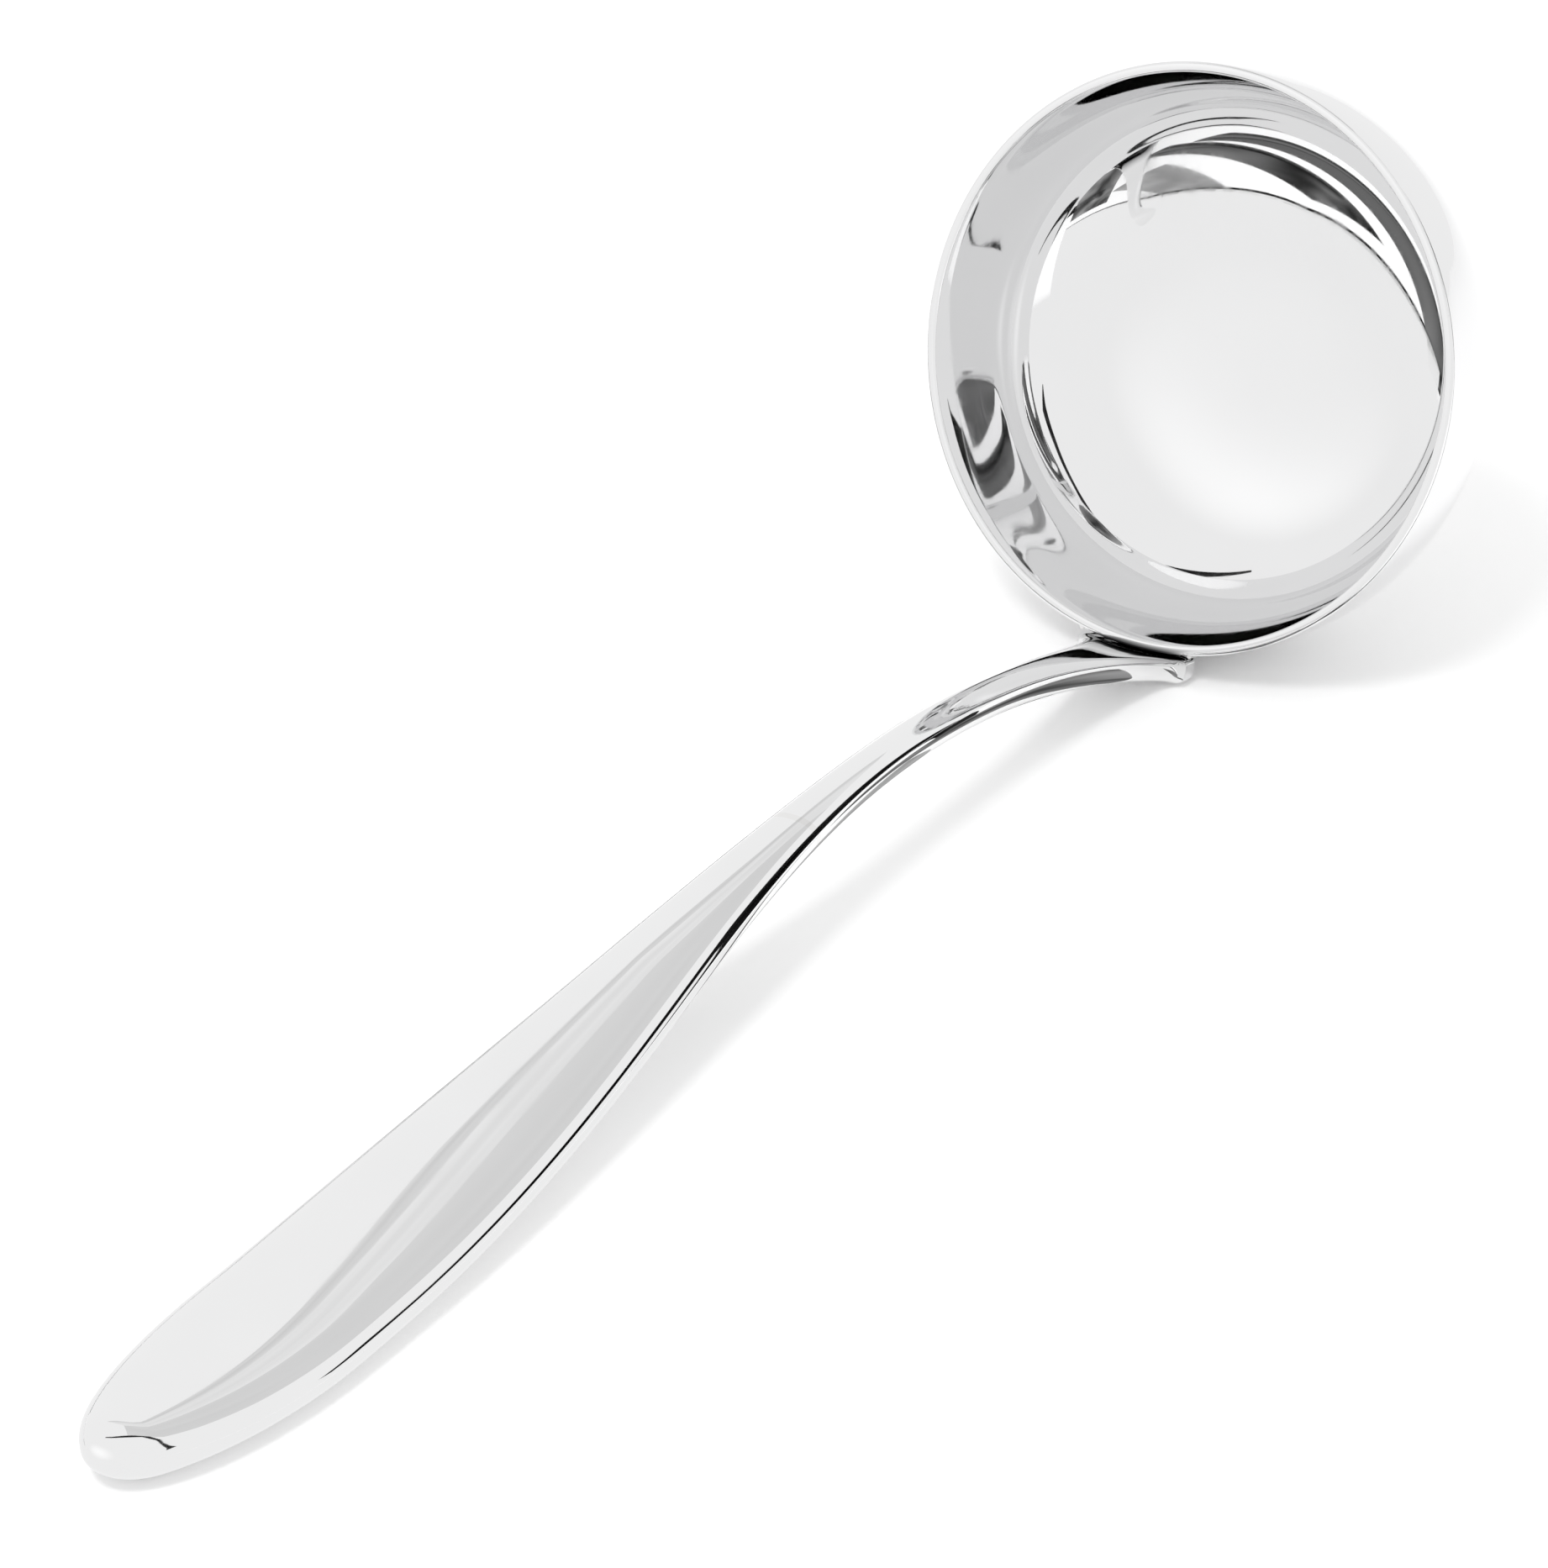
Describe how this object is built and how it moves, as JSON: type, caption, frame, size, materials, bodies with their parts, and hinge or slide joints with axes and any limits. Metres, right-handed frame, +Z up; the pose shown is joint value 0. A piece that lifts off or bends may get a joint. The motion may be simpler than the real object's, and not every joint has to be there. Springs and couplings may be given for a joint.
{
  "type": "soup ladle",
  "caption": "Mirror-polished silver soup ladle: round full-shouldered bowl, forged curved neck lapped on its wall, and a hollow flat-oval handle swelling to a rounded leaf end, lying at rest.",
  "frame": {"origin": "on the table under the middle of the ladle's bounding box, as it lies at rest", "axes": "+X along the ladle from the handle's tip to the bowl, +Z up from the table, +Y across; the ladle is symmetric about the XZ plane and the bowl opens towards -X and a little up"},
  "size_m": [0.2976, 0.09, 0.0899],
  "materials": {
    "bowl_silver": "silver, spun and mirror polished, with fine buffing marks",
    "handle_silver": "silver, struck and mirror polished",
    "silver_solder": "silver solder, filed flush and buffed, slightly greyer than the silver"
  },
  "bodies": {
    "root": {"bowl_shell": "bowl_silver", "neck_shank": "handle_silver", "handle_upper_half": "handle_silver", "handle_lower_half": "handle_silver", "handle_mouth_ring": "silver_solder", "shoe_bead": "silver_solder"}
  },
  "joints": []
}
